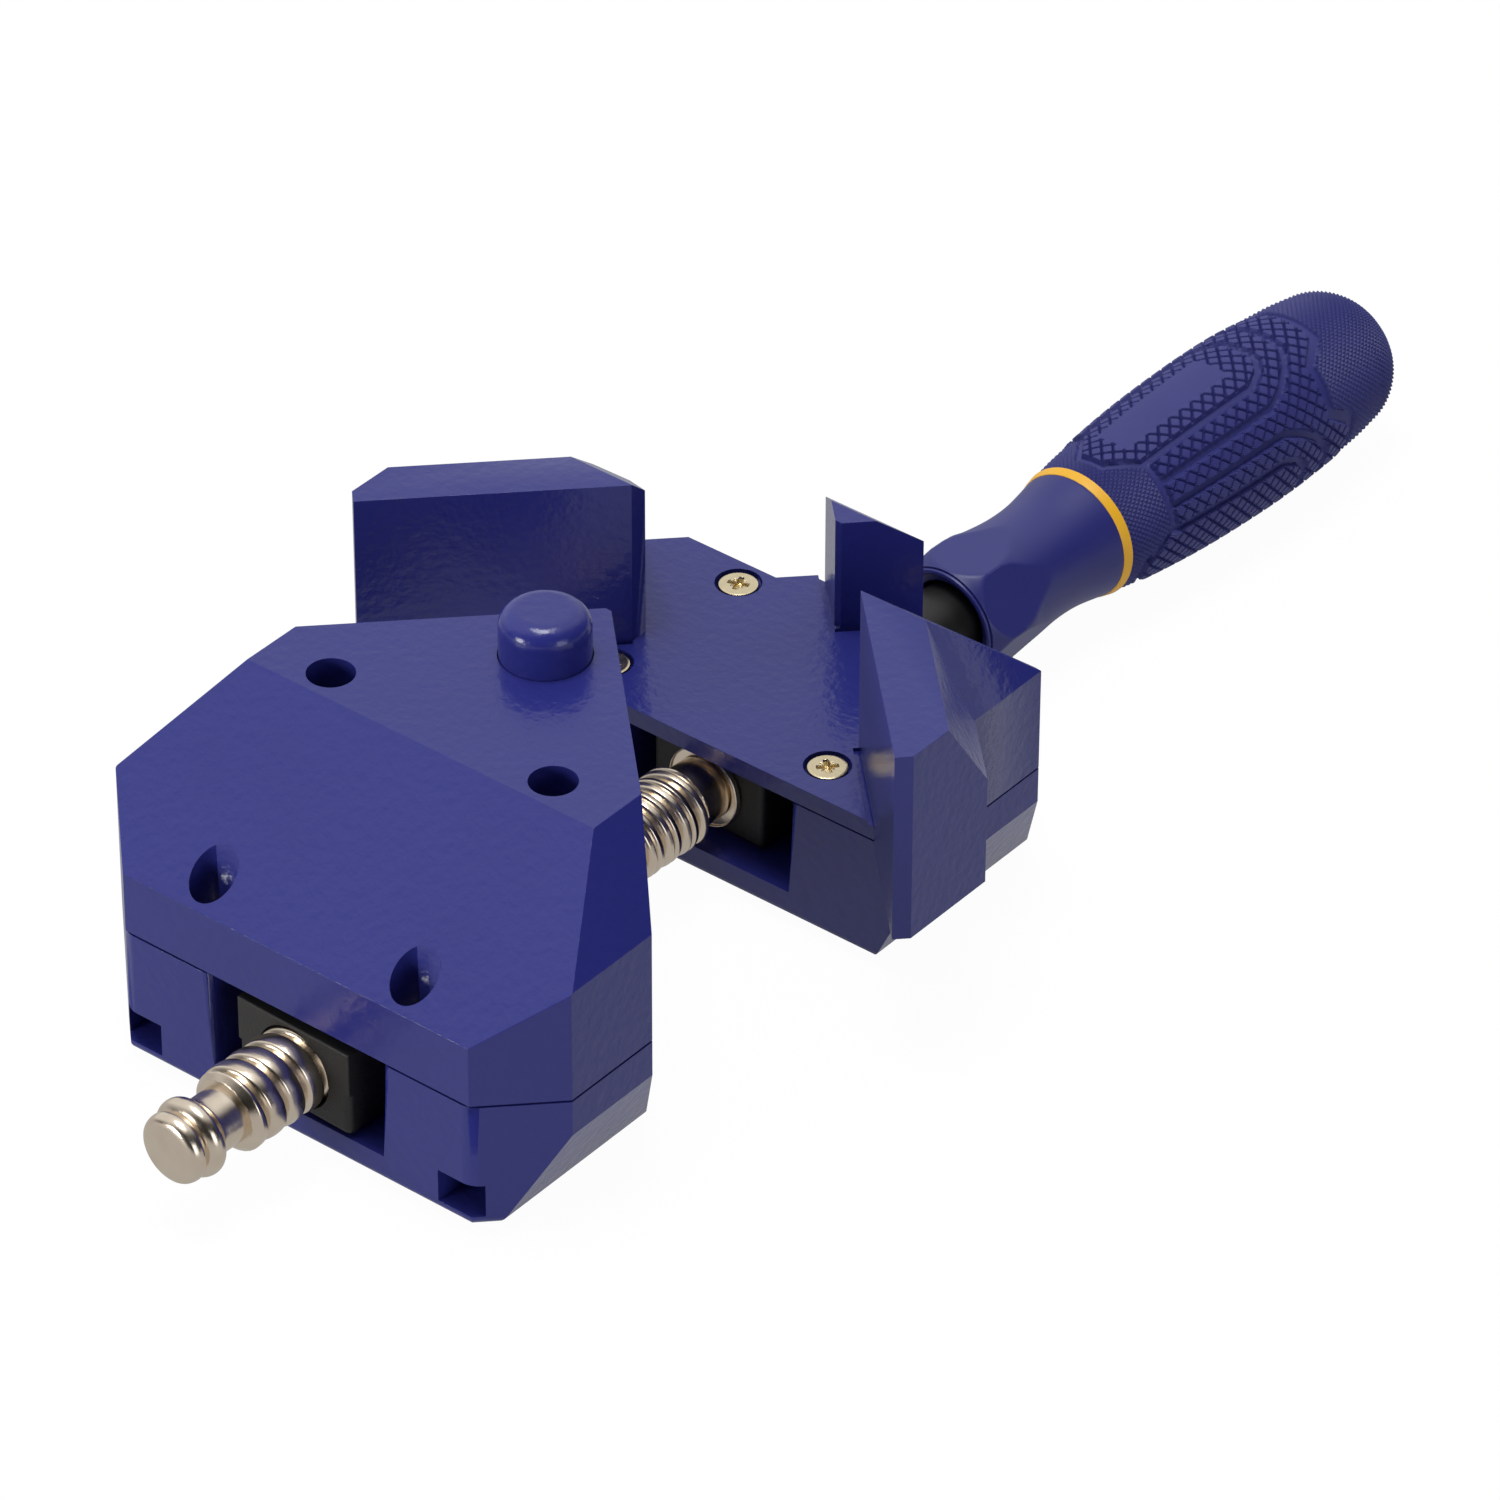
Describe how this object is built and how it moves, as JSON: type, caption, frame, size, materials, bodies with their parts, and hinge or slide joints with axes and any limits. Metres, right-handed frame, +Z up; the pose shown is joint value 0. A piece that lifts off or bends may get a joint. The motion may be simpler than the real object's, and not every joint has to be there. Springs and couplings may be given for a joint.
{
  "type": "corner clamp",
  "caption": "Screw corner clamp: a V-shaped fixed body with a rear post, a swivelling nose jaw with a quick-release button, a threaded spindle and a soft screwdriver-type handle.",
  "frame": {"origin": "the point on the standing face under the corner where the two fixed jaw faces would meet", "axes": "+Y from the moving jaw towards the handle, +Z up from the standing face, +X to the right seen from the moving jaw"},
  "size_m": [0.1416, 0.3701, 0.0852],
  "materials": {
    "blue_paint": "semi-gloss blue paint on die castings",
    "zinc_steel": "bright zinc plate",
    "black_cast": "matt black casting",
    "ground_steel": "ground steel",
    "spring_steel": "drawn spring steel",
    "nickel_steel": "bright nickel plate",
    "black_plastic": "black moulded sleeve",
    "blue_plastic": "satin blue hard plastic",
    "yellow_plastic": "yellow moulded ring",
    "blue_rubber": "soft blue grip with a knurled surface"
  },
  "bodies": {
    "fixed_body": {"base_lower_casting": "blue_paint", "base_upper_casting": "blue_paint", "base_screws": "zinc_steel"},
    "thrust_block": {"thrust_block_lower": "black_cast", "thrust_block_upper": "black_cast", "thrust_block_dowels": "ground_steel"},
    "spindle": {"spindle_screw": "nickel_steel", "front_retaining_ring": "spring_steel", "thrust_washer": "ground_steel", "spindle_sleeve": "black_plastic", "handle_core": "blue_plastic", "handle_band": "yellow_plastic", "handle_grip": "blue_rubber"},
    "nut_block": {"nut_block_lower": "black_cast", "nut_block_upper": "black_cast", "nut_block_dowels": "ground_steel"},
    "half_nut_slide": {"half_nut": "ground_steel", "lift_stem": "ground_steel", "lift_cap": "ground_steel"},
    "moving_jaw": {"jaw_lower_casting": "blue_paint", "jaw_upper_casting": "blue_paint", "jaw_screws": "zinc_steel", "lever_pin": "ground_steel", "release_spring": "spring_steel"},
    "lever": {"release_lever": "ground_steel"},
    "button": {"release_button": "blue_paint"}
  },
  "joints": [
    {"name": "spindle_swing", "type": "hinge", "parent": "fixed_body", "child": "thrust_block", "pos_m": [0, -0.0214, 0], "axis": [0, 0, 1], "range_deg": [-1.65, 5.35]},
    {"name": "spindle_turn", "type": "hinge", "parent": "thrust_block", "child": "spindle", "pos_m": [0, -0.0214, 0.0165], "axis": [-0.0323, -0.9995, 0], "range_deg": [-2341, 2881]},
    {"name": "jaw_travel", "type": "slide", "parent": "thrust_block", "child": "nut_block", "axis": [0.0323, 0.9995, 0], "range_m": [-0.0338, 0.0416]},
    {"name": "jaw_swivel", "type": "hinge", "parent": "nut_block", "child": "moving_jaw", "pos_m": [-0.00361, -0.13304, 0], "axis": [0, 0, 1], "range_deg": [-6.85, 3.15]},
    {"name": "button_press", "type": "slide", "parent": "moving_jaw", "child": "button", "axis": [0, 0, -1], "range_m": [0, 0.005], "stiffness_N_per_m": 500, "springref_m": -0.004, "deforming": ["release_spring"]},
    {"name": "lever_rock", "type": "hinge", "parent": "moving_jaw", "child": "lever", "pos_m": [-0.00361, -0.11704, 0.044], "axis": [-1, 0, 0], "range_deg": [-0.05, 9.31]},
    {"name": "half_nut_lift", "type": "slide", "parent": "nut_block", "child": "half_nut_slide", "axis": [0, 0, 1], "range_m": [-0.00002, 0.00262]}
  ],
  "couplings": [
    {"joint": "spindle_turn", "follows": "jaw_travel", "rad_per_m": 1208.3},
    {"joint": "lever_rock", "follows": "button_press", "rad_per_m": 32.154},
    {"joint": "half_nut_lift", "follows": "button_press", "ratio": 0.51447}
  ]
}
